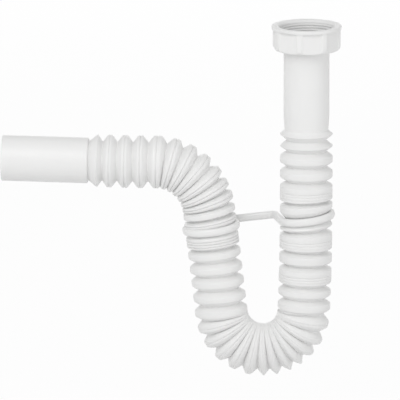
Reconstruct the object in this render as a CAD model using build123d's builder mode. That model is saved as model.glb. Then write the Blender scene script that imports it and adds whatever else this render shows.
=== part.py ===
from build123d import *
import os
from math import cos, hypot, pi, radians, sin

# An extendable waste connector: a corrugated pipe bent into a trap, with a spigot at its outlet,
# a coupling nut and washer at its inlet, and an S-shaped clip that holds the legs of the trap.
# Millimetres. +Z is up along the tail, and the origin is the centre of the nut's mouth.
# The pipe lies in the XZ plane, with the spigot towards -X.

# Fittings that the connector joins
SPIGOT_RADIUS = 20.0
SPIGOT_LENGTH = 76.0
SPIGOT_WALL = 1.6
SPIGOT_CHAMFER = 0.8
THREAD_RADIUS = 23.9
THREAD_LENGTH = 12.7

# Route of the bellows, from the tail down, round the bottom, up, over and out
TAIL_END_DROP = 92.5
RIGHT_LEG = 162.8
UPPER_LEG_TURN = 0.2
LOWER_LEG_TURN = 2.2
BOTTOM_RADIUS = 36.2
LEFT_LEG = 94.2
LEFT_LEG_TILT = 6.4
LEFT_LEG_TURN = 0.8
TOP_RADIUS = 47.0
RUN_LENGTH = 58.8
RUN_TURN = 1.0
SPIGOT_RISE = 1.2

# Folds
CREST_RADIUS = 23.1
FOLD_DEPTH = 5.8
FOLD_WALL = 1.2
BEND_CLOSURE = 0.62
BORE_SAG = 0.9

# Stretches of folds from the tail to the spigot: an opening, the width of the crests that lie closed
# behind it, the next opening and so on, up to a last opening. The openings stretch to fill their length.
RIGHT_UPPER_FOLDS = (3.8, 0, 10.5, 0, 9.1, 4.9, 8.2, 5.4, 7.6, 12.0, 5.0, 2.6, 2.8)
RIGHT_LOWER_FOLDS = (2.3, 0, 6.3, 12.3, 6.0, 6.2, 6.7, 11.5, 7.2, 4.0, 8.0, 4.9, 3.3)
BOTTOM_RIGHT_FOLDS = (6.4, 0, 10.3, 0, 8.0, 0, 8.1, 0, 6.8, 0, 7.6, 0, 7.4, 0, 2.3)
BOTTOM_LEFT_FOLDS = (4.8, 3.0, 6.1, 3.0, 6.5, 3.0, 6.8, 3.0, 6.2, 3.0, 3.8)
LEFT_LOWER_FOLDS = (2.4, 4.4, 8.6, 4.4, 9.0, 4.4, 8.1, 4.4, 8.5, 4.6, 4.9, 6.5, 3.6)
LEFT_UPPER_FOLDS = (1.4, 2.0, 4.0, 3.4, 1.6)
TOP_FOLDS = (4.0, 3.6, 4.8, 3.6, 5.6, 3.6, 7.0, 3.6, 6.9, 3.6, 6.9, 3.6, 4.0)
RUN_FOLDS = (4.0, 5.3, 9.7, 3.9, 9.7, 4.0, 9.7, 3.5, 9.2, 0, 7.5)
LEFT_LEAD = 2.0
RUN_LEAD = 7.0

# Tail, and the collar that the nut pulls up
TAIL_RADIUS = 20.0
TAIL_WALL = 2.1
TAIL_NECK_RADIUS = 19.1
TAIL_TAPER = 12.0
COLLAR_RADIUS = 22.1
COLLAR_THICKNESS = 3.5

# Washer
WASHER_THICKNESS = 3.0
WASHER_BORE_RADIUS = 18.6

# Coupling nut
NUT_HEIGHT = 21.5
NUT_RADIUS = 29.9
NUT_RIM_RADIUS = 30.8
NUT_RIM_HEIGHT = 3.4
NUT_FLARE = 6.0
NUT_FOOT_ROUND = 4.0
NUT_FLATS = 8
NUT_FLAT_APOTHEM = 27.6
NUT_FLAT_WIDTH = 16.7
NUT_FLAT_TURN = -77.5
NUT_CLEARANCE = 0.5
NUT_LIFT = 0.3

# Clip
CLIP_DROP = 78.0
CLIP_RADIUS = 22.3
CLIP_THICKNESS = 6.0
CLIP_HEIGHT = 6.6
CLIP_SIDE_HEIGHT = 4.4
CLIP_BEND = 8.0
CLIP_PITCH = 1.5
SEAT_RADIUS = 18.6
RIGHT_SEAT = 12.2
LEFT_SEAT = 8.6
CLIP_LEFT_TIP = 25.0
CLIP_RIGHT_TIP = 110.0

os.makedirs("parts", exist_ok=True)

valley_radius = CREST_RADIUS - FOLD_DEPTH
bore_radius = valley_radius - FOLD_WALL
bottom_turn = 180 - LEFT_LEG_TILT - UPPER_LEG_TURN - LOWER_LEG_TURN
bottom_arc = BOTTOM_RADIUS * radians(bottom_turn)
bottom_quarter = BOTTOM_RADIUS * pi / 2
top_turn = 90 - LEFT_LEG_TILT - LEFT_LEG_TURN + RUN_TURN - SPIGOT_RISE
top_arc = TOP_RADIUS * radians(top_turn)

# Each piece of the route is a length and the angle that it turns through, with left turns positive
ROUTE = (
    (CLIP_DROP, -UPPER_LEG_TURN),
    (RIGHT_LEG - CLIP_DROP, -LOWER_LEG_TURN),
    (bottom_arc, -bottom_turn),
    (LEFT_LEG, LEFT_LEG_TURN),
    (top_arc, top_turn),
    (RUN_LENGTH, -RUN_TURN),
)
route_length = sum(length for length, turn in ROUTE)
left_leg_start = RIGHT_LEG + bottom_arc


def station(distance):
    """The X and Z, the heading in degrees and the turn per millimetre at a distance along the route."""
    x, z, heading, bend = 0.0, -TAIL_END_DROP, -90.0, 0.0
    for length, turn in ROUTE:
        step = min(distance, length)
        swept = turn * step / length
        half = radians(swept) / 2
        chord = step * sin(half) / half if half else step
        x += chord * cos(radians(heading) + half)
        z += chord * sin(radians(heading) + half)
        heading += swept
        bend = radians(turn) / length
        distance -= step
        if distance <= 0:
            break
    return x, z, heading, bend


# The clip lies square to the left leg, in a plane through its place on the right leg
right_clip_x, right_clip_z, _, _ = station(CLIP_DROP)
low, high = left_leg_start, left_leg_start + LEFT_LEG
while high - low > 1e-6:
    left_clip_place = (low + high) / 2
    left_clip_x, left_clip_z, left_clip_heading, _ = station(left_clip_place)
    across_x, across_z = right_clip_x - left_clip_x, right_clip_z - left_clip_z
    ahead = across_x * cos(radians(left_clip_heading)) + across_z * sin(radians(left_clip_heading))
    low, high = (left_clip_place, high) if ahead > 0 else (low, left_clip_place)
clip_span = hypot(across_x, across_z)


def ring_plane(distance):
    """The plane across the pipe at a distance along the route, with local Y to the left of the route."""
    x, z, heading, _ = station(distance)
    heading = radians(heading)
    return Plane(origin=(x, 0, z), x_dir=(0, 1, 0), z_dir=(cos(heading), 0, sin(heading)))


def valley_circle(distance):
    """The radius of a valley and how far its centre moves to the left, because folds close up inside a bend."""
    if distance == 0:
        return TAIL_NECK_RADIUS, 0.0
    if distance in seat_ends:
        return SEAT_RADIUS, 0.0
    closure = BEND_CLOSURE * FOLD_DEPTH * CREST_RADIUS * station(distance)[3]
    return valley_radius + abs(closure), closure


# The stretches lie end to end along the route, with a plain seat for the clip on each leg
STRETCHES = (
    (CLIP_DROP - RIGHT_SEAT / 2, RIGHT_UPPER_FOLDS),
    (RIGHT_SEAT, ()),
    (RIGHT_LEG - CLIP_DROP - RIGHT_SEAT / 2, RIGHT_LOWER_FOLDS),
    (bottom_quarter, BOTTOM_RIGHT_FOLDS),
    (bottom_arc - bottom_quarter - LEFT_LEAD, BOTTOM_LEFT_FOLDS),
    (left_clip_place - left_leg_start + LEFT_LEAD - LEFT_SEAT / 2, LEFT_LOWER_FOLDS),
    (LEFT_SEAT, ()),
    (left_leg_start + LEFT_LEG - left_clip_place - LEFT_SEAT / 2, LEFT_UPPER_FOLDS),
    (top_arc - RUN_LEAD, TOP_FOLDS),
    (RUN_LEAD + RUN_LENGTH, RUN_FOLDS),
)

# Each rib runs from valley to valley, with the distances of its first and last crests between them
ribs = []
seat_ends = []
place = 0.0
for length, folds in STRETCHES:
    if not folds:
        seat_ends += [place, place + length]
        ribs.append((place, [], place + length))
        place += length
        continue
    openings, widths = folds[0::2], folds[1::2]
    stretch = (length - sum(widths)) / sum(openings)
    stretch_end = place + length
    valley = place
    crest = place
    for opening, width, after in zip(openings, widths, openings[1:]):
        first = crest + opening * stretch
        crest = first + width
        end = crest + after * stretch / 2
        ribs.append((valley, [first, crest] if width else [first], end))
        valley = end
    start, crests, _ = ribs[-1]
    ribs[-1] = (start, crests, stretch_end)
    place = stretch_end

# The bore runs straight until it would leave the middle of the pipe, so legs need fewer rings than bends
bore_rings = [0.0]
for start, _, end in ribs:
    span = end - bore_rings[-1]
    swept = abs(radians(station(end)[2] - station(bore_rings[-1])[2]))
    if span * swept / 8 > BORE_SAG and start > bore_rings[-1]:
        bore_rings.append(start)
bore_rings.append(route_length)

collar_top = -(THREAD_LENGTH + WASHER_THICKNESS)
collar_bottom = collar_top - COLLAR_THICKNESS
tail_bore_radius = TAIL_RADIUS - TAIL_WALL
route_end = ring_plane(route_length)

with BuildPart() as corrugated_pipe:
    for start, crests, end in ribs:
        for distance in (start, *crests, end):
            radius, shift = (CREST_RADIUS, 0.0) if distance in crests else valley_circle(distance)
            with BuildSketch(ring_plane(distance)):
                with Locations((0, shift)):
                    Circle(radius)
        loft(ruled=True)
    with BuildSketch(route_end):
        Circle(SPIGOT_RADIUS)
    extrude(amount=SPIGOT_LENGTH)
    spigot_mouth = corrugated_pipe.edges().filter_by(GeomType.CIRCLE).sort_by(Axis.X)[0]
    chamfer(spigot_mouth, SPIGOT_CHAMFER)
    with BuildSketch(Plane.XZ):
        with BuildLine():
            Polyline(
                (0, -TAIL_END_DROP),
                (TAIL_NECK_RADIUS, -TAIL_END_DROP),
                (TAIL_RADIUS, -TAIL_END_DROP + TAIL_TAPER),
                (TAIL_RADIUS, collar_bottom),
                (COLLAR_RADIUS, collar_bottom),
                (COLLAR_RADIUS, collar_top),
                (0, collar_top),
                close=True,
            )
        make_face()
    revolve(axis=Axis.Z)
    for start, end in zip(bore_rings, bore_rings[1:]):
        for distance in (start, end):
            with BuildSketch(ring_plane(distance)):
                Circle(bore_radius)
        loft(ruled=True, mode=Mode.SUBTRACT)
    with BuildSketch(route_end):
        Circle(bore_radius)
    extrude(amount=SPIGOT_WALL, mode=Mode.SUBTRACT)
    with BuildSketch(route_end.offset(SPIGOT_WALL)):
        Circle(SPIGOT_RADIUS - SPIGOT_WALL)
    extrude(amount=SPIGOT_LENGTH, mode=Mode.SUBTRACT)
    with BuildSketch(Plane.XY.offset(collar_top)):
        Circle(tail_bore_radius)
    extrude(amount=-(TAIL_END_DROP + collar_top), mode=Mode.SUBTRACT)
corrugated_pipe.part.label = "corrugated_pipe"
export_step(corrugated_pipe.part, "parts/corrugated_pipe.step")

with BuildPart() as sealing_washer:
    with BuildSketch(Plane.XY.offset(collar_top)):
        Circle(COLLAR_RADIUS)
        Circle(WASHER_BORE_RADIUS, mode=Mode.SUBTRACT)
    extrude(amount=WASHER_THICKNESS)
sealing_washer.part.label = "sealing_washer"
export_step(sealing_washer.part, "parts/sealing_washer.step")

pocket_radius = COLLAR_RADIUS + NUT_CLEARANCE
pocket_top = collar_top + WASHER_THICKNESS
pocket_bottom = collar_bottom - NUT_LIFT
lip_radius = TAIL_RADIUS + NUT_CLEARANCE

with BuildPart() as coupling_nut:
    with BuildSketch(Plane.XZ):
        with BuildLine():
            Polyline(
                (lip_radius, -NUT_HEIGHT),
                (NUT_RADIUS - NUT_FOOT_ROUND, -NUT_HEIGHT),
            )
            RadiusArc(
                (NUT_RADIUS - NUT_FOOT_ROUND, -NUT_HEIGHT),
                (NUT_RADIUS, -NUT_HEIGHT + NUT_FOOT_ROUND),
                -NUT_FOOT_ROUND,
            )
            Polyline(
                (NUT_RADIUS, -NUT_HEIGHT + NUT_FOOT_ROUND),
                (NUT_RADIUS, -NUT_FLARE),
                (NUT_RIM_RADIUS, 0),
                (THREAD_RADIUS, 0),
                (THREAD_RADIUS, pocket_top),
                (pocket_radius, pocket_top),
                (pocket_radius, pocket_bottom),
                (lip_radius, pocket_bottom),
                (lip_radius, -NUT_HEIGHT),
            )
        make_face()
    revolve(axis=Axis.Z)
    with BuildSketch(Plane.XY.offset(-NUT_HEIGHT)):
        with PolarLocations(NUT_FLAT_APOTHEM + NUT_RADIUS / 2, NUT_FLATS, start_angle=NUT_FLAT_TURN):
            Rectangle(NUT_RADIUS, NUT_FLAT_WIDTH)
    extrude(amount=NUT_HEIGHT - NUT_RIM_HEIGHT, mode=Mode.SUBTRACT)
coupling_nut.part.label = "coupling_nut"
export_step(coupling_nut.part, "parts/coupling_nut.step")

# The clip dips towards the front of the part
dip, level = clip_span * sin(radians(CLIP_PITCH)), cos(radians(CLIP_PITCH))
clip_plane = Plane(
    origin=(right_clip_x, 0, right_clip_z),
    x_dir=(across_x, 0, across_z),
    z_dir=(-across_z * level, -dip, across_x * level),
)

with BuildPart() as leg_clip:
    with BuildLine(clip_plane):
        left_loop = CenterArc((-clip_span, 0), CLIP_RADIUS, CLIP_LEFT_TIP, -(270 + CLIP_LEFT_TIP))
        Line((-clip_span, CLIP_RADIUS), (-CLIP_RADIUS - CLIP_BEND, CLIP_RADIUS))
        CenterArc((-CLIP_RADIUS - CLIP_BEND, CLIP_RADIUS - CLIP_BEND), CLIP_BEND, 90, -90)
        Line((-CLIP_RADIUS, CLIP_RADIUS - CLIP_BEND), (-CLIP_RADIUS, 0))
        CenterArc((0, 0), CLIP_RADIUS, 180, 180 + CLIP_RIGHT_TIP)
    with BuildSketch(Plane(origin=left_loop @ 0, x_dir=clip_plane.z_dir, z_dir=left_loop % 0)):
        Polygon(
            (-CLIP_HEIGHT / 2, 0),
            (-CLIP_SIDE_HEIGHT / 2, -CLIP_THICKNESS / 2),
            (CLIP_SIDE_HEIGHT / 2, -CLIP_THICKNESS / 2),
            (CLIP_HEIGHT / 2, 0),
            (CLIP_SIDE_HEIGHT / 2, CLIP_THICKNESS / 2),
            (-CLIP_SIDE_HEIGHT / 2, CLIP_THICKNESS / 2),
        )
    sweep()
leg_clip.part.label = "leg_clip"
export_step(leg_clip.part, "parts/leg_clip.step")
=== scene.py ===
import bmesh
import bpy
from math import atan, copysign, cos, hypot, pi, radians, sin
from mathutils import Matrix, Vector


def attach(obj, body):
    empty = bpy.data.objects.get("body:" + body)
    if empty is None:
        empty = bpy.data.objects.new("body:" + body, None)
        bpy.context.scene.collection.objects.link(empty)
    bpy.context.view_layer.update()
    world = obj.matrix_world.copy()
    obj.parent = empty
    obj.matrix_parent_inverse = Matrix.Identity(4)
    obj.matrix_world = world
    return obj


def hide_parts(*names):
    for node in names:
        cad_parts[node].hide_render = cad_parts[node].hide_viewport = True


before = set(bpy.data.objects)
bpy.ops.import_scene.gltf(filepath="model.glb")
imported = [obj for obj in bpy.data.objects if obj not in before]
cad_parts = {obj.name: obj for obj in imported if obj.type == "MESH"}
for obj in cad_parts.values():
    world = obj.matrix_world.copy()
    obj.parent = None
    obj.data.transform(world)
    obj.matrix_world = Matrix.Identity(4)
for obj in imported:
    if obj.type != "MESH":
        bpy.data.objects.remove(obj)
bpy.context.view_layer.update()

MM = 0.001

# Route of the pipe in millimetres and degrees, as in the part's source
TAIL_END_DROP = 92.5
RIGHT_LEG = 162.8
UPPER_LEG_TURN = 0.2
LOWER_LEG_TURN = 2.2
BOTTOM_RADIUS = 36.2
LEFT_LEG = 94.2
LEFT_LEG_TILT = 6.4
LEFT_LEG_TURN = 0.8
TOP_RADIUS = 47.0
RUN_LENGTH = 58.8
RUN_TURN = 1.0
SPIGOT_RISE = 1.2
CLIP_DROP = 78.0

# Folds, and the neck where the first of them leaves the tail
CREST_RADIUS = 23.05
FOLD_DEPTH = 5.8
FOLD_WALL = 1.2
NECK_RADIUS = 19.1
NECK_LENGTH = 6.0

# Inside of the bends: the crest's share of the bend's radius that counts as tight, and how the valleys close
BEND_TIGHT = 0.64
BEND_NARROWING = 2.2
BEND_CLOSING = 2.6

# Mesh: points round a ring, splits between control points, and outer rings for each inner one
RING_STEPS = 64
RING_SPLITS = 2
INNER_SKIP = 6

# Crests: roundings, the least width that has a line, and the depth of the crease inside a bend
RIDGE_ROUND = 0.4
CORNER_ROUND = 0.28
SHOULDER_HEIGHT = 0.94
CORNER_HEIGHT = 0.985
WIDE_CREST = 2.4
CREASE_DEPTH = 0.6
# The crease is deepest two thirds of the way in, where x * x * (1 - x) is 4 / 27
CREASE_SPREAD = 27 / 4

# Lines between closed crests: half their width, and their depths as shares of a fold
LINE_HALF = 0.42
FINE_LINE = 0.06
RUN_LINE = 0.13
BEND_LINE = 0.18
DEEP_LINE = 0.17
# Places of those lines, as shares of the width of a band
LOW_LINES = (0.44, 0.66, 0.88)
EVEN_LINES = (0.16, 0.44, 0.72)
MIDDLE_LINE = (0.5,)

# A fold's flank from valley to crest: share of the way along, and height
FLANK = ((0.0, 0.0), (0.10, 0.05), (0.30, 0.27), (0.75, 0.77))

bottom_start_angle = UPPER_LEG_TURN + LOWER_LEG_TURN
bottom_turn = 180 - LEFT_LEG_TILT - bottom_start_angle
bottom_arc = BOTTOM_RADIUS * radians(bottom_turn)
left_start = RIGHT_LEG + bottom_arc
top_start = left_start + LEFT_LEG
top_start_angle = LEFT_LEG_TILT + LEFT_LEG_TURN
top_turn = 90 - top_start_angle + RUN_TURN - SPIGOT_RISE
top_arc = TOP_RADIUS * radians(top_turn)
route_length = top_start + top_arc + RUN_LENGTH

ROUTE = (
    (CLIP_DROP, -UPPER_LEG_TURN),
    (RIGHT_LEG - CLIP_DROP, -LOWER_LEG_TURN),
    (bottom_arc, -bottom_turn),
    (LEFT_LEG, LEFT_LEG_TURN),
    (top_arc, top_turn),
    (RUN_LENGTH, -RUN_TURN),
)


def station(distance):
    """The X and Z, the heading in degrees and the turn per millimetre at a distance along the route."""
    x, z, heading, bend = 0.0, -TAIL_END_DROP, -90.0, 0.0
    if distance < 0:
        return x, z - distance, heading, bend
    for length, turn in ROUTE:
        step = min(distance, length)
        swept = turn * step / length
        half = radians(swept) / 2
        chord = step * sin(half) / half if half else step
        x += chord * cos(radians(heading) + half)
        z += chord * sin(radians(heading) + half)
        heading += swept
        bend = radians(turn) / length
        distance -= step
        if distance <= 0:
            break
    else:
        x += distance * cos(radians(heading))
        z += distance * sin(radians(heading))
        bend = 0.0
    return x, z, heading, bend


# The clip's place on each leg, square to the left leg
CLIP_PLACE_ERROR = 1e-6
right_clip_x, right_clip_z, _, _ = station(CLIP_DROP)


def left_clip_distance():
    """The distance along the route where the line to the clip's right loop is square to the left leg."""
    low, high = left_start, top_start
    while high - low > CLIP_PLACE_ERROR:
        middle = (low + high) / 2
        x, z, heading, _ = station(middle)
        ahead = (right_clip_x - x) * cos(radians(heading)) + (right_clip_z - z) * sin(radians(heading))
        if ahead > 0:
            low = middle
        else:
            high = middle
    return middle


left_clip_x, left_clip_z, left_clip_heading, _ = station(left_clip_distance())
across_x = right_clip_x - left_clip_x
across_z = right_clip_z - left_clip_z
clip_span = hypot(across_x, across_z)
# The route turns clockwise round the bottom, so straight up is a heading of -270 there
clip_tilt = left_clip_heading + 270

# Lean of the rings in degrees: by the clip, at the foot of the left leg, and below the top bend
CLIP_LEAN_REACH = 24.0
FOOT_LEAN = -2.0
FOOT_LEAN_PLACE = 20.0
UPPER_LEAN = 5.0
UPPER_LEAN_START = 60.0
UPPER_LEAN_PLACE = 92.0
UPPER_LEAN_END = 40.0
lean_points = (
    (CLIP_DROP - CLIP_LEAN_REACH, 0),
    (CLIP_DROP, clip_tilt),
    (CLIP_DROP + CLIP_LEAN_REACH, 0),
    (left_start, 0),
    (left_start + FOOT_LEAN_PLACE, FOOT_LEAN),
    (left_start + UPPER_LEAN_START, 0),
    (left_start + UPPER_LEAN_PLACE, UPPER_LEAN),
    (top_start + UPPER_LEAN_END, 0),
)


def lean_at(distance):
    """How far the rings lean from square to the route, in degrees."""
    for (start, lean), (end, after) in zip(lean_points, lean_points[1:]):
        if start <= distance < end:
            share = (distance - start) / (end - start)
            return lean + (after - lean) * share * share * (3 - 2 * share)
    return 0.0


# Ribs from the tail on: distances of the first and last crest, the lines between them and their depth
RIGHT_LEG_RIBS = (
    (3.8, 3.8, (), 0),
    (14.3, 14.3, (), 0),
    (23.4, 28.3, (), 0),
    (36.5, 41.9, (), 0),
    (49.5, 61.5, LOW_LINES, FINE_LINE),
    (66.6, 71.2, (), 0),
    (85.6, 86.4, (), 0),
    (92.7, 105.0, LOW_LINES, FINE_LINE),
    (111.0, 117.2, (), 0),
    (123.9, 135.4, LOW_LINES, FINE_LINE),
    (142.6, 146.6, (), 0),
    (154.6, 159.5, (), 0),
)
# Angles round the bottom bend, from level on the right, and the width of each crest
BOTTOM_RIBS = (
    (12.5, 2.6),
    (28.8, 2.0),
    (41.5, 1.4),
    (54.3, 0),
    (65.0, 0),
    (77.0, 0),
    (88.7, 0),
    (102.4, 2.4),
    (117.0, 3.0),
    (132.0, 3.0),
    (147.5, 3.0),
    (162.0, 3.0),
)
# Up the left leg from its foot, in the same form
LEFT_LEG_RIBS = (
    (0.4, 4.8, (), 0),
    (13.4, 17.8, (), 0),
    (26.8, 31.2, (), 0),
    (39.3, 43.7, (), 0),
    (52.2, 56.8, (), 0),
    (62.4, 70.8, EVEN_LINES, DEEP_LINE),
    (81.6, 84.8, MIDDLE_LINE, DEEP_LINE),
    (89.4, 93.2, (), 0),
)
# Angles round the top bend, from level on the right, and the width of each double crest
TOP_DOUBLES = (14.3, 24.5, 35.7, 48.7, 61.5, 74.2)
TOP_DOUBLE_WIDTH = 3.6
# Distances of the first and last crest back from the spigot
RUN_RIBS = (
    (62.5, 57.2),
    (47.5, 43.6),
    (33.9, 29.9),
    (20.2, 16.7),
    (7.7, 7.7),
)


def rib_list():
    """Every rib in order along the route, as first crest, last crest, lines and their depth."""
    ribs = list(RIGHT_LEG_RIBS)
    for angle, width in BOTTOM_RIBS:
        place = RIGHT_LEG + BOTTOM_RADIUS * radians(angle - bottom_start_angle)
        lines = MIDDLE_LINE if width >= WIDE_CREST else ()
        ribs.append((place - width / 2, place + width / 2, lines, FINE_LINE))
    for first, last, lines, depth in LEFT_LEG_RIBS:
        ribs.append((left_start + first, left_start + last, lines, depth))
    half = TOP_DOUBLE_WIDTH / 2
    for angle in TOP_DOUBLES:
        place = top_start + TOP_RADIUS * radians(angle - top_start_angle)
        ribs.append((place - half, place + half, MIDDLE_LINE, BEND_LINE))
    for first, last in RUN_RIBS:
        ribs.append((route_length - first, route_length - last, MIDDLE_LINE, RUN_LINE))
    return ribs


def band_points(first, last, lines, depth):
    """Control points over a rib's crest: a ridge, or a band with a line between each two closed crests."""
    width = last - first
    if width == 0:
        return [
            (first - RIDGE_ROUND, SHOULDER_HEIGHT, 0.0),
            (first, 1.0, CREASE_DEPTH),
            (first + RIDGE_ROUND, SHOULDER_HEIGHT, 0.0),
        ]
    points = [(first - CORNER_ROUND, SHOULDER_HEIGHT, 0.0), (first + CORNER_ROUND, CORNER_HEIGHT, 0.0)]
    for share in lines:
        place = first + width * share
        points.append((place - LINE_HALF, 1.0, 0.0))
        points.append((place, 1 - depth, CREASE_DEPTH))
        points.append((place + LINE_HALF, 1.0, 0.0))
    if not lines:
        points.append((first + width / 2, 1.0, CREASE_DEPTH))
    points += [(last - CORNER_ROUND, CORNER_HEIGHT, 0.0), (last + CORNER_ROUND, SHOULDER_HEIGHT, 0.0)]
    return points


def fold_profile():
    """Control points along the folds: distance, height from 0 in a valley to 1 on a crest, and crease."""
    ribs = rib_list()
    valleys = [0.0]
    for rib, after in zip(ribs, ribs[1:]):
        valleys.append((rib[1] + after[0]) / 2)
    valleys.append(route_length)
    points = []
    for rib, start, end in zip(ribs, valleys, valleys[1:]):
        first, last, _, _ = rib
        points += [(start + share * (first - start), height, 0.0) for share, height in FLANK]
        points += band_points(*rib)
        points += [(end + share * (last - end), height, 0.0) for share, height in reversed(FLANK[1:])]
    points.append((route_length, 0.0, 0.0))
    return points


def smooth(points, splits):
    """Points on a Catmull-Rom curve through the given points, held between the valley and the crest."""
    ends = [points[0], *points, points[-1]]
    curve = []
    for before, a, b, after in zip(ends, ends[1:], ends[2:], ends[3:]):
        for step in range(splits):
            t = step / splits
            place = []
            for p, q, r, s in zip(before, a, b, after):
                square = 2 * p - 5 * q + 4 * r - s
                cube = 3 * q - p - 3 * r + s
                place.append(0.5 * (2 * q + (r - p) * t + square * t * t + cube * t ** 3))
            curve.append((place[0], min(1.0, max(0.0, place[1])), max(0.0, place[2])))
    curve.append(points[-1])
    return curve


def ring(distance, radius, depth=0.0, lean=0.0, crease=0.0):
    """Points of one ring round the route. Inside a bend, the valleys close and the crests crease."""
    x, z, heading, bend = station(distance)
    heading = radians(heading + lean)
    left = Vector((-sin(heading), 0, cos(heading)))
    back = Vector((0, 1, 0))
    centre = Vector((x, 0, z))
    height = max(0.0, 1 - depth / FOLD_DEPTH)
    tight = min(1.0, CREST_RADIUS * abs(bend) / BEND_TIGHT)
    side = 1 if bend >= 0 else -1
    points = []
    for step in range(RING_STEPS):
        angle = 2 * pi * step / RING_STEPS
        inside = tight * (1 + side * cos(angle)) / 2
        narrowed = height ** (1 / (1 + BEND_NARROWING * inside))
        reach = radius - FOLD_DEPTH * (1 - narrowed) * (1 - inside ** BEND_CLOSING)
        reach -= crease * CREASE_SPREAD * inside ** 2 * (1 - inside)
        points.append((centre + reach * (cos(angle) * left + sin(angle) * back)) * MM)
    return points


def to_object(name, mesh):
    """A smooth-shaded object from a working mesh, with its faces turned outward."""
    bmesh.ops.recalc_face_normals(mesh, faces=mesh.faces)
    data = bpy.data.meshes.new(name)
    mesh.to_mesh(data)
    mesh.free()
    for face in data.polygons:
        face.use_smooth = True
    made = bpy.data.objects.new(name, data)
    bpy.context.scene.collection.objects.link(made)
    return made


def tube_mesh(name, rings):
    """A closed mesh through rings that go out along the outside and back along the inside."""
    mesh = bmesh.new()
    loops = [[mesh.verts.new(point) for point in points] for points in rings]
    for loop, after in zip(loops, loops[1:] + loops[:1]):
        for step in range(len(loop)):
            following = (step + 1) % len(loop)
            mesh.faces.new((loop[step], loop[following], after[following], after[step]))
    return to_object(name, mesh)


# Tail and spigot
TUBE_RADIUS = 20.0
TUBE_EDGE = 0.3
COLLAR_TOP = -76.8
COLLAR_FOOT = -73.3
COLLAR_RADIUS = 22.1
COLLAR_EDGE = 0.4
TAIL_BORE = 17.9
SPIGOT_LENGTH = 76.0
SPIGOT_BORE = 18.4
SPIGOT_FLOOR = 1.6

# Distance and radius along the tail's outside, with rings part-way that keep its shading even
TAIL_OUTSIDE = (
    (COLLAR_TOP, COLLAR_RADIUS - COLLAR_EDGE),
    (COLLAR_TOP + COLLAR_EDGE, COLLAR_RADIUS),
    (COLLAR_FOOT - COLLAR_EDGE, COLLAR_RADIUS),
    (COLLAR_FOOT, COLLAR_RADIUS - COLLAR_EDGE),
    (COLLAR_FOOT, TUBE_RADIUS + TUBE_EDGE),
    (COLLAR_FOOT + TUBE_EDGE, TUBE_RADIUS),
    (-50.0, TUBE_RADIUS),
    (-30.0, TUBE_RADIUS),
    (-13.0, TUBE_RADIUS),
    (-12.0, 19.98),
    (-8.0, 19.75),
    (-4.0, 19.45),
    (-1.2, 19.2),
)
# The same from the last fold out along the spigot, over its end and back along its inside
SPIGOT_OUTSIDE = (
    (0.1, 17.6),
    (0.2, 19.0),
    (0.5, 19.6),
    (1.2, 19.95),
    (2.0, TUBE_RADIUS),
    (25.0, TUBE_RADIUS),
    (50.0, TUBE_RADIUS),
    (SPIGOT_LENGTH - 1.4, TUBE_RADIUS),
    (SPIGOT_LENGTH - 0.5, 19.85),
    (SPIGOT_LENGTH - 0.1, 19.5),
    (SPIGOT_LENGTH, 19.2),
)
SPIGOT_INSIDE = (
    (SPIGOT_LENGTH, 18.8),
    (SPIGOT_LENGTH - 0.2, 18.5),
    (SPIGOT_LENGTH - 0.8, SPIGOT_BORE),
    (40.0, SPIGOT_BORE),
    (SPIGOT_FLOOR + 0.6, SPIGOT_BORE),
    (SPIGOT_FLOOR + 0.1, 18.1),
    (SPIGOT_FLOOR, 16.6),
)
# The tail's inside from the first fold up to the collar
TAIL_INSIDE = (
    (-0.5, 17.6),
    (-3.0, TAIL_BORE),
    (-40.0, TAIL_BORE),
    (COLLAR_TOP + 0.8, TAIL_BORE),
    (COLLAR_TOP + 0.2, 18.0),
    (COLLAR_TOP, 18.3),
)


def pipe_rings():
    """All the rings of the pipe, out along the outside and back along the inside."""
    rings = [ring(distance, radius) for distance, radius in TAIL_OUTSIDE]
    neck_depth = CREST_RADIUS - NECK_RADIUS
    outside = []
    for place, height, crease in smooth(fold_profile(), RING_SPLITS):
        full_depth = neck_depth + (FOLD_DEPTH - neck_depth) * min(1.0, place / NECK_LENGTH)
        outside.append((place, full_depth * (1 - height), lean_at(place), crease))
    for place, depth, lean, crease in outside:
        rings.append(ring(place, CREST_RADIUS, depth, lean, crease))
    for distance, radius in SPIGOT_OUTSIDE + SPIGOT_INSIDE:
        rings.append(ring(route_length + distance, radius))
    for place, depth, lean, _ in reversed(outside[1:-1:INNER_SKIP]):
        rings.append(ring(place, CREST_RADIUS - FOLD_WALL, depth, lean))
    rings += [ring(distance, radius) for distance, radius in TAIL_INSIDE]
    return rings


pipe = tube_mesh("pipe_skin", pipe_rings())

# Coupling nut
NUT_HEIGHT = 21.5
NUT_RADIUS = 29.9
NUT_RIM_RADIUS = 30.8
NUT_RIM_HEIGHT = 3.4
NUT_FLARE = 6.0
NUT_FOOT_ROUND = 4.0
NUT_FLATS = 8
NUT_FLAT_APOTHEM = 27.6
NUT_FLAT_WIDTH = 16.7
NUT_FLAT_TURN = -77.5
NUT_LIP_RADIUS = 20.5
NUT_POCKET_RADIUS = 22.6
NUT_POCKET_TOP = -12.7
NUT_POCKET_BOTTOM = -19.5
NUT_STEPS = 360
NUT_STEP_ANGLE = 1.1
NUT_FOOT_STEPS = 6
NUT_LIP_EDGE = 0.3
NUT_FOOT_EDGE = 0.5
# Rings up the nut: on the wall, at the rim's foot with the share of the flats, and at its edge with the inset
NUT_WALL_ROWS = (-14.0, -10.0, -NUT_FLARE)
NUT_RIM_STEP = ((-0.5, 1.0), (-0.15, 0.95), (0.05, 0.6), (0.2, 0.15), (0.5, 0.0))
NUT_RIM_TOP = -1.6
NUT_RIM_EDGE = ((-0.7, 0.1), (-0.25, 0.2), (0.0, 0.7))

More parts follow.
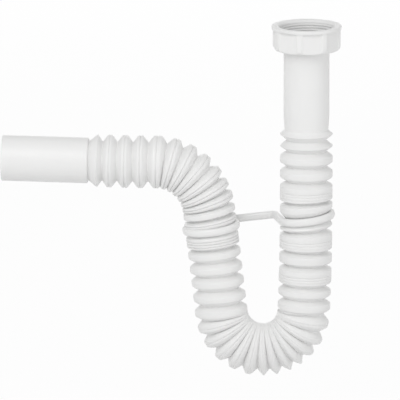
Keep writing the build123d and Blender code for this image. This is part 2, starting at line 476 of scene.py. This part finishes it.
# Thread and bevel in the nut's mouth
THREAD_MAJOR = 23.9
THREAD_MINOR = 23.4
THREAD_PITCH = 2.309
THREAD_RUN_IN = 1.8
THREAD_GROOVE = 1.1
THREAD_ROWS_PER_PITCH = 8
MOUTH_BEVEL = 1.5
MOUTH_EDGE = 0.4
MOUTH_EDGE_DROP = 0.15
POCKET_STEP = 0.1

nut_angles = [2 * pi * step / NUT_STEPS for step in range(NUT_STEPS)]


def flat_radius(angle):
    """The radius of the nut's wall at an angle: a land, or the flat sunk between two lands."""
    sector = 2 * pi / NUT_FLATS
    away = (angle - radians(NUT_FLAT_TURN) + sector / 2) % sector - sector / 2
    flat_half = atan(NUT_FLAT_WIDTH / 2 / NUT_FLAT_APOTHEM)
    if abs(away) < flat_half:
        return NUT_FLAT_APOTHEM / cos(away)
    edge = NUT_FLAT_APOTHEM / cos(flat_half)
    climb = min(1.0, (abs(away) - flat_half) / radians(NUT_STEP_ANGLE))
    return edge + (NUT_RADIUS - edge) * climb


def nut_outside():
    """Rows of the nut's outside from foot to mouth, as height, largest radius and share of the flats."""
    rows = []
    for step in range(NUT_FOOT_STEPS + 1):
        angle = radians(90 * step / NUT_FOOT_STEPS)
        height = -NUT_HEIGHT + NUT_FOOT_ROUND * (1 - cos(angle))
        rows.append((height, NUT_RADIUS - NUT_FOOT_ROUND * (1 - sin(angle)), 1.0))
    levels = [(height, 1.0) for height in NUT_WALL_ROWS]
    levels += [(offset - NUT_RIM_HEIGHT, share) for offset, share in NUT_RIM_STEP]
    levels.append((NUT_RIM_TOP, 0.0))
    flare = NUT_RIM_RADIUS - NUT_RADIUS
    for height, share in levels:
        rows.append((height, NUT_RADIUS + flare * max(0.0, 1 + height / NUT_FLARE), share))
    rows += [(height, NUT_RIM_RADIUS - inset, 0.0) for height, inset in NUT_RIM_EDGE]
    return rows


def thread_rows():
    """Heights of the rows down the thread, and how much of the thread each one has."""
    count = int((-MOUTH_BEVEL - NUT_POCKET_TOP) / THREAD_PITCH * THREAD_ROWS_PER_PITCH)
    rows = []
    for step in range(count + 1):
        height = -MOUTH_BEVEL + (NUT_POCKET_TOP + MOUTH_BEVEL) * step / count
        share = min(1.0, (-MOUTH_BEVEL - height) / THREAD_RUN_IN, (height - NUT_POCKET_TOP) / THREAD_RUN_IN)
        rows.append((height, share))
    return rows


def thread_ridge(angle, height):
    """How far the helical thread stands in from its full bore at an angle and a height."""
    phase = (height / THREAD_PITCH + angle / (2 * pi)) % 1.0
    return (THREAD_MAJOR - THREAD_MINOR) * min(1.0, (1 - cos(2 * pi * phase)) / THREAD_GROOVE)


def nut_ring(height, reaches):
    """A ring round the nut's axis at a height, with its reach at each angle."""
    return [Vector((reach * cos(a), reach * sin(a), height)) * MM for a, reach in zip(nut_angles, reaches)]


def round_ring(height, radius):
    """A ring of one radius round the nut's axis."""
    return nut_ring(height, [radius] * NUT_STEPS)


def nut_rings():
    """All the rings of the nut, up the outside, over the mouth and down the inside."""
    rings = []
    for height, largest, share in nut_outside():
        sunk = [min(largest, flat_radius(angle)) for angle in nut_angles]
        rings.append(nut_ring(height, [largest + (reach - largest) * share for reach in sunk]))
    rings.append(round_ring(0.0, THREAD_MAJOR + MOUTH_BEVEL + MOUTH_EDGE))
    rings.append(round_ring(-MOUTH_EDGE_DROP, THREAD_MAJOR + MOUTH_BEVEL))
    for height, share in thread_rows():
        bore = [THREAD_MAJOR - thread_ridge(angle, height) * share for angle in nut_angles]
        rings.append(nut_ring(height, bore))
    rings.append(round_ring(NUT_POCKET_TOP - POCKET_STEP, NUT_POCKET_RADIUS))
    rings.append(round_ring(NUT_POCKET_BOTTOM, NUT_POCKET_RADIUS))
    rings.append(round_ring(NUT_POCKET_BOTTOM, NUT_LIP_RADIUS + NUT_LIP_EDGE))
    rings.append(round_ring(NUT_POCKET_BOTTOM - NUT_LIP_EDGE, NUT_LIP_RADIUS))
    rings.append(round_ring(-NUT_HEIGHT + NUT_FOOT_EDGE, NUT_LIP_RADIUS))
    rings.append(round_ring(-NUT_HEIGHT, NUT_LIP_RADIUS + NUT_FOOT_EDGE))
    return rings


nut = tube_mesh("nut_body", nut_rings())

# Clip: its loops, the bend and the slant between them, its section and its tips
CLIP_RADIUS = 22.3
CLIP_THICKNESS = 6.0
CLIP_HEIGHT = 6.6
CLIP_BEND = 6.0
CLIP_SLANT = 14.0
CLIP_PITCH = 1.5
CLIP_LEFT_TIP = 25.0
CLIP_RIGHT_TIP = 110.0
CLIP_ARC_STEP = 4.0
CLIP_SECTION_STEPS = 20
CLIP_SQUARENESS = 0.72
TIP_ROUND = 2.4
TIP_SHARES = (1.0, 0.92, 0.7, 0.4)
TIP_SMALLEST = 0.03
ARM_SHARES = (0.25, 0.5, 0.75)


def arc_points(centre, radius, start, sweep):
    """Points along an arc in the clip's plane, at about one every few degrees."""
    count = max(2, int(abs(sweep) / CLIP_ARC_STEP))
    points = []
    for step in range(count + 1):
        angle = radians(start + sweep * step / count)
        points.append((centre[0] + radius * cos(angle), centre[1] + radius * sin(angle)))
    return points


def clip_path():
    """The middle of the rod in the clip's plane, from the left tip to the right tip."""
    points = arc_points((-clip_span, 0), CLIP_RADIUS, CLIP_LEFT_TIP, -(270 + CLIP_LEFT_TIP))
    slant = radians(CLIP_SLANT)
    straight = CLIP_RADIUS - CLIP_BEND
    reach = (CLIP_RADIUS + CLIP_BEND + straight * sin(slant)) / cos(slant)
    points += [(-clip_span + (clip_span - reach) * share, CLIP_RADIUS) for share in ARM_SHARES]
    points += arc_points((-reach, straight), CLIP_BEND, 90, CLIP_SLANT - 90)
    ring_start = 180 + CLIP_SLANT
    points += arc_points((0, 0), CLIP_RADIUS, ring_start, 180 + CLIP_RIGHT_TIP - CLIP_SLANT)
    return points


def clip_stations():
    """Places along the rod, its direction there and the share of its full section, less at the tips."""
    path = clip_path()
    directions = []
    for before, after in zip([path[0], *path], [*path[1:], path[-1]]):
        directions.append(Vector((after[0] - before[0], after[1] - before[1], 0)).normalized())
    places = [Vector((*point, 0)) for point in path]
    start, end = [], []
    for share in TIP_SHARES:
        reach = TIP_ROUND * (share - 1)
        size = max(TIP_SMALLEST, (1 - share * share) ** 0.5)
        start.append((places[0] - directions[0] * reach, directions[0], size))
        end.append((places[-1] + directions[-1] * reach, directions[-1], size))
    middle = [(place, direction, 1.0) for place, direction in zip(places, directions)]
    return start + middle[1:-1] + end[::-1]


def squared(value):
    """A sine or cosine pushed towards the corners of the rod's section."""
    return copysign(abs(value) ** CLIP_SQUARENESS, value)


def clip_mesh():
    """The clip as a rounded rod swept along its path, with rounded tips."""
    along = Vector((across_x, 0, across_z)).normalized()
    square = Vector((-across_z, 0, across_x)).normalized()
    pitch = radians(CLIP_PITCH)
    back = Vector((0, cos(pitch), 0)) + sin(pitch) * square
    up = along.cross(back)
    origin = Vector((right_clip_x, 0, right_clip_z))
    mesh = bmesh.new()
    loops = []
    for place, direction, size in clip_stations():
        side = Vector((-direction.y, direction.x, 0))
        loop = []
        for step in range(CLIP_SECTION_STEPS):
            angle = 2 * pi * step / CLIP_SECTION_STEPS
            flat = place + side * (squared(cos(angle)) * CLIP_THICKNESS / 2 * size)
            rise = squared(sin(angle)) * CLIP_HEIGHT / 2 * size
            loop.append(mesh.verts.new((origin + along * flat.x + back * flat.y + up * rise) * MM))
        loops.append(loop)
    for loop, after in zip(loops, loops[1:]):
        for step in range(CLIP_SECTION_STEPS):
            following = (step + 1) % CLIP_SECTION_STEPS
            mesh.faces.new((loop[step], loop[following], after[following], after[step]))
    mesh.faces.new(loops[0])
    mesh.faces.new(loops[-1])
    return to_object("clip_rod", mesh)


clip = clip_mesh()

# Height of the grain on every material, in metres
BUMP_HEIGHT = 0.0003


def new_material(name):
    """A material with a principled shader, and its node tree."""
    material = bpy.data.materials.new(name)
    material.use_nodes = True
    return material, material.node_tree


def noise(tree, scale, detail=2.0):
    """A noise pattern in the object's own frame."""
    where = tree.nodes.new("ShaderNodeTexCoord")
    texture = tree.nodes.new("ShaderNodeTexNoise")
    texture.inputs["Scale"].default_value = scale
    texture.inputs["Detail"].default_value = detail
    tree.links.new(where.outputs["Object"], texture.inputs["Vector"])
    return texture.outputs["Fac"]


def tint(tree, dark, light, pattern):
    """Varies the shader's colour between two colours by a pattern."""
    blend = tree.nodes.new("ShaderNodeMix")
    blend.data_type = "RGBA"
    blend.inputs["A"].default_value = (*dark, 1)
    blend.inputs["B"].default_value = (*light, 1)
    tree.links.new(pattern, blend.inputs["Factor"])
    tree.links.new(blend.outputs["Result"], tree.nodes["Principled BSDF"].inputs["Base Color"])


def bump(tree, strength, pattern):
    """Roughens the shader's surface by a pattern."""
    relief = tree.nodes.new("ShaderNodeBump")
    relief.inputs["Strength"].default_value = strength
    relief.inputs["Distance"].default_value = BUMP_HEIGHT
    tree.links.new(pattern, relief.inputs["Height"])
    tree.links.new(relief.outputs["Normal"], tree.nodes["Principled BSDF"].inputs["Normal"])


# Plastic: its clouds, its sheen and its grain
PLASTIC_IOR = 1.49
CLOUD_SCALE = 45.0
CLOUD_DETAIL = 3.0
CLOUD_DARK = 0.985
CLOUD_LIGHT = 1.012
SHEEN_SCALE = 160.0
SHEEN_SPREAD = 0.06
GRAIN_STRENGTH = 0.08


def plastic(name, colour, rough, grain):
    """White moulded plastic: a faint cloudiness in its colour, an uneven sheen and a fine moulded grain."""
    material, tree = new_material(name)
    shader = tree.nodes["Principled BSDF"]
    shader.inputs["IOR"].default_value = PLASTIC_IOR
    dark = [c * CLOUD_DARK for c in colour]
    light = [c * CLOUD_LIGHT for c in colour]
    tint(tree, dark, light, noise(tree, CLOUD_SCALE, CLOUD_DETAIL))
    sheen = tree.nodes.new("ShaderNodeMapRange")
    sheen.inputs["To Min"].default_value = rough - SHEEN_SPREAD
    sheen.inputs["To Max"].default_value = rough + SHEEN_SPREAD
    tree.links.new(noise(tree, SHEEN_SCALE), sheen.inputs["Value"])
    tree.links.new(sheen.outputs["Result"], shader.inputs["Roughness"])
    bump(tree, GRAIN_STRENGTH, noise(tree, grain))
    return material


# Rubber: its black, its bloom and its grain
RUBBER_BLACK = (0.08, 0.08, 0.085)
RUBBER_BLOOM = (0.12, 0.12, 0.125)
RUBBER_ROUGH = 0.75
BLOOM_SCALE = 220.0
BLOOM_STRENGTH = 0.15


def rubber():
    """Matt black rubber with a dusty bloom."""
    material, tree = new_material("washer_rubber")
    tree.nodes["Principled BSDF"].inputs["Roughness"].default_value = RUBBER_ROUGH
    bloom = noise(tree, BLOOM_SCALE)
    tint(tree, RUBBER_BLACK, RUBBER_BLOOM, bloom)
    bump(tree, BLOOM_STRENGTH, bloom)
    return material


# Colour, then the roughness and the scale of the grain of each plastic
PIPE_WHITE = (0.87, 0.87, 0.865)
pipe.data.materials.append(plastic("pipe_plastic", PIPE_WHITE, 0.42, 1400.0))
nut.data.materials.append(plastic("nut_plastic", PIPE_WHITE, 0.38, 1800.0))
clip.data.materials.append(plastic("clip_plastic", PIPE_WHITE, 0.40, 1800.0))
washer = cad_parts["sealing_washer"]
washer.data.materials.clear()
washer.data.materials.append(rubber())

for piece, node, body, slot in (
    (pipe, "corrugated_pipe", "pipe", "pipe"),
    (nut, "coupling_nut", "nut", "nut"),
    (clip, "leg_clip", "pipe", "clip"),
):
    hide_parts(node)
    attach(piece, body)

# Floor: its place in metres, the share of its shadow that the camera sees, its glow and its paper
FLOOR_DROP = 0.36
FLOOR_HALF = 60.0
FLOOR_SHADOW = 0.05
FLOOR_GLOW = 1.0
PAPER_WHITE = (0.86, 0.86, 0.86)
PAPER_ROUGH = 0.9


def either(tree, first, second):
    """The larger of two values, which is 1 where either of them is 1."""
    larger = tree.nodes.new("ShaderNodeMath")
    larger.operation = "MAXIMUM"
    tree.links.new(first, larger.inputs[0])
    tree.links.new(second, larger.inputs[1])
    return larger.outputs["Value"]


def floor_paper():
    """Paper that is white to the camera and in reflections, but keeps some of the shadow."""
    material, tree = new_material("floor_paper")
    matt = tree.nodes["Principled BSDF"]
    matt.inputs["Base Color"].default_value = (*PAPER_WHITE, 1)
    matt.inputs["Roughness"].default_value = PAPER_ROUGH
    glow = tree.nodes.new("ShaderNodeEmission")
    glow.inputs["Strength"].default_value = FLOOR_GLOW
    ray = tree.nodes.new("ShaderNodeLightPath")
    seen = either(tree, ray.outputs["Is Camera Ray"], ray.outputs["Is Transmission Ray"])
    seen = either(tree, seen, ray.outputs["Is Glossy Ray"])
    white = tree.nodes.new("ShaderNodeMath")
    white.operation = "MULTIPLY"
    white.inputs[1].default_value = 1 - FLOOR_SHADOW
    tree.links.new(seen, white.inputs[0])
    blend = tree.nodes.new("ShaderNodeMixShader")
    tree.links.new(white.outputs["Value"], blend.inputs["Fac"])
    tree.links.new(matt.outputs["BSDF"], blend.inputs[1])
    tree.links.new(glow.outputs["Emission"], blend.inputs[2])
    tree.links.new(blend.outputs["Shader"], tree.nodes["Material Output"].inputs["Surface"])
    return material


floor_data = bpy.data.meshes.new("floor")
corners = [(x * FLOOR_HALF, y * FLOOR_HALF, -FLOOR_DROP) for x, y in ((-1, -1), (1, -1), (1, 1), (-1, 1))]
floor_data.from_pydata(corners, [], [(0, 1, 2, 3)])
floor = bpy.data.objects.new("floor", floor_data)
bpy.context.scene.collection.objects.link(floor)
floor_data.materials.append(floor_paper())

# Camera at the photograph's angle: a long lens, a little above level
VIEW_CENTRE = Vector((-0.0931, 0.0, -0.1567))
VIEW_WIDTH = 0.350
VIEW_DISTANCE = 10.0
VIEW_AZIMUTH = 3.0
VIEW_ELEVATION = 12.0
VIEW_REACH = 200.0
SENSOR = 36.0


def place_at(azimuth, elevation, distance):
    """A point round the view's centre, with azimuth from the front towards +X."""
    turn, rise = radians(azimuth), radians(elevation)
    return VIEW_CENTRE + distance * Vector((sin(turn) * cos(rise), -cos(turn) * cos(rise), sin(rise)))


def aim(obj):
    """Points a lamp or the camera at the view's centre."""
    obj.rotation_euler = (VIEW_CENTRE - obj.location).to_track_quat("-Z", "Y").to_euler()


lens = bpy.data.cameras.new("camera")
lens.sensor_width = SENSOR
lens.lens = SENSOR * VIEW_DISTANCE / VIEW_WIDTH
lens.clip_end = VIEW_REACH
camera = bpy.data.objects.new("camera", lens)
camera.location = place_at(VIEW_AZIMUTH, VIEW_ELEVATION, VIEW_DISTANCE)
aim(camera)
bpy.context.scene.collection.objects.link(camera)
bpy.context.scene.camera = camera

# Soft studio light: azimuth, elevation, distance, width and power of each lamp
LAMPS = {
    "key": (-18.0, 40.0, 2.0, 1.2, 13.0),
    "left": (-70.0, 4.0, 2.0, 1.2, 3.0),
    "right": (55.0, 6.0, 2.0, 1.2, 6.0),
    "back": (180.0, 3.0, 2.0, 1.2, 4.0),
}
for name, (azimuth, elevation, distance, width, power) in LAMPS.items():
    lamp = bpy.data.lights.new(name, "AREA")
    lamp.size = width
    lamp.energy = power
    lamp_object = bpy.data.objects.new(name, lamp)
    lamp_object.location = place_at(azimuth, elevation, distance)
    aim(lamp_object)
    bpy.context.scene.collection.objects.link(lamp_object)

AMBIENT = 0.58
world = bpy.data.worlds.new("studio")
bpy.context.scene.world = world
world.use_nodes = True
sky = world.node_tree.nodes["Background"]
sky.inputs["Color"].default_value = (1, 1, 1, 1)
sky.inputs["Strength"].default_value = AMBIENT
bpy.context.scene.view_settings.view_transform = "Standard"
